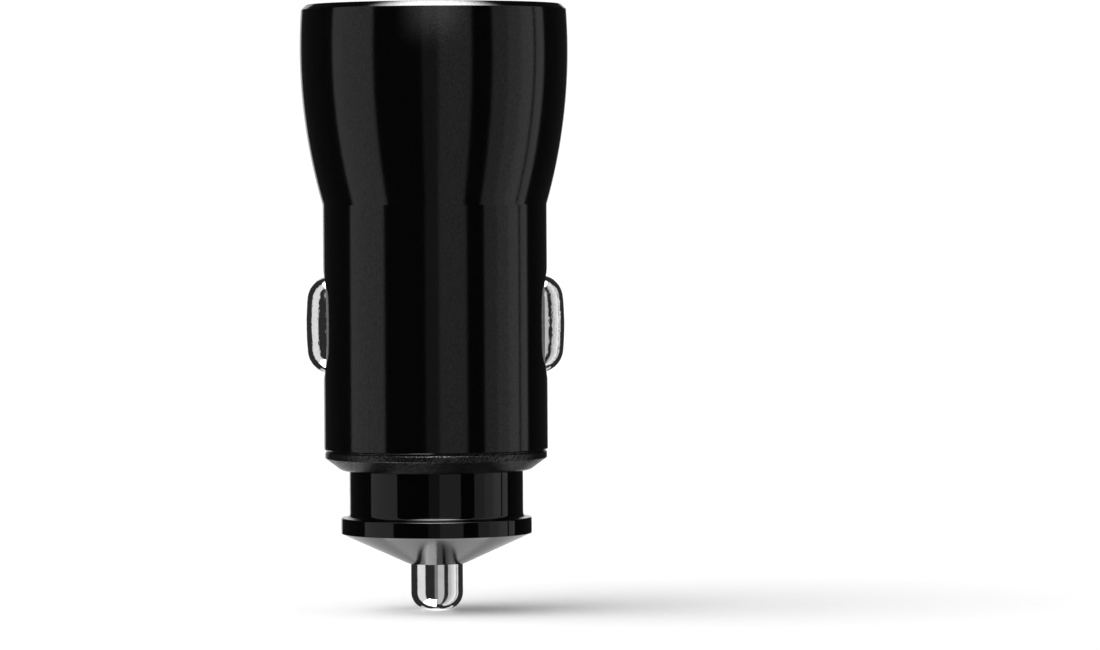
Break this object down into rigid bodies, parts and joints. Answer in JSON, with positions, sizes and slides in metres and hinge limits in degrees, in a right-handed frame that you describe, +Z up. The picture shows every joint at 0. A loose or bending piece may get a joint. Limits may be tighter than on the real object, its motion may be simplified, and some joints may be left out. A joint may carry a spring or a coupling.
{
  "type": "usb car charger",
  "caption": "Black plug-in vehicle charger with a flared round head, USB-A ports in its face, sprung side contacts on a straight plug, and a necked nose with a sprung centre tip.",
  "frame": {"origin": "on the plug's axis, in the plane where the flared head meets the plug and stops at the socket's mouth", "axes": "+Z up the axis towards the USB face, X through the two side contacts, tip pointing to -Z as pictured"},
  "size_m": [0.0248, 0.0248, 0.0562],
  "materials": {
    "black_anodised_aluminium": "turned, black anodised, glossy",
    "satin_black_plastic": "moulded, satin",
    "textured_black_plastic": "moulded, fine spark-eroded texture",
    "gloss_black_plastic": "moulded, polished",
    "nickel_plate": "bright nickel plate",
    "spring_steel": "drawn wire",
    "contact_brass": "stamped",
    "board_laminate": "green solder mask",
    "tinned_steel": "tin plated",
    "tongue_plastic": "moulded",
    "ferrite": "pressed",
    "can_aluminium": "drawn can",
    "chip_epoxy": "moulded"
  },
  "bodies": {
    "housing": {"shell": "black_anodised_aluminium", "face_plate": "satin_black_plastic", "carrier": "textured_black_plastic", "nose": "gloss_black_plastic", "tip_spring": "spring_steel", "tip_terminal": "contact_brass", "contact_leaf_right": "contact_brass", "contact_leaf_left": "contact_brass", "ground_strap_right": "contact_brass", "ground_strap_left": "contact_brass", "main_board": "board_laminate", "usb_shell_rear": "tinned_steel", "usb_shell_front": "tinned_steel", "usb_tongue_rear": "tongue_plastic", "usb_tongue_front": "tongue_plastic", "usb_contacts_rear": "contact_brass", "usb_contacts_front": "contact_brass", "power_inductor": "ferrite", "input_capacitor": "can_aluminium", "output_capacitor": "can_aluminium", "buck_chip": "chip_epoxy", "buck_chip_leads": "tinned_steel", "charge_chip": "chip_epoxy", "charge_chip_leads": "tinned_steel", "rectifier_diode": "chip_epoxy", "input_fuse": "chip_epoxy", "chip_resistors": "chip_epoxy"},
    "tip": {"tip_contact": "nickel_plate"},
    "left_contact": {"side_contact_left": "nickel_plate"},
    "right_contact": {"side_contact_right": "nickel_plate"}
  },
  "joints": [
    {"name": "tip_press", "type": "slide", "parent": "housing", "child": "tip", "axis": [0, 0, 1], "range_m": [0, 0.0025], "stiffness_N_per_m": 800, "deforming": ["tip_spring"]},
    {"name": "left_contact_press", "type": "slide", "parent": "housing", "child": "left_contact", "axis": [1, 0, 0], "range_m": [0, 0.00158], "stiffness_N_per_m": 600, "deforming": ["contact_leaf_left"]},
    {"name": "right_contact_press", "type": "slide", "parent": "housing", "child": "right_contact", "axis": [-1, 0, 0], "range_m": [0, 0.00158], "stiffness_N_per_m": 600, "deforming": ["contact_leaf_right"]}
  ]
}
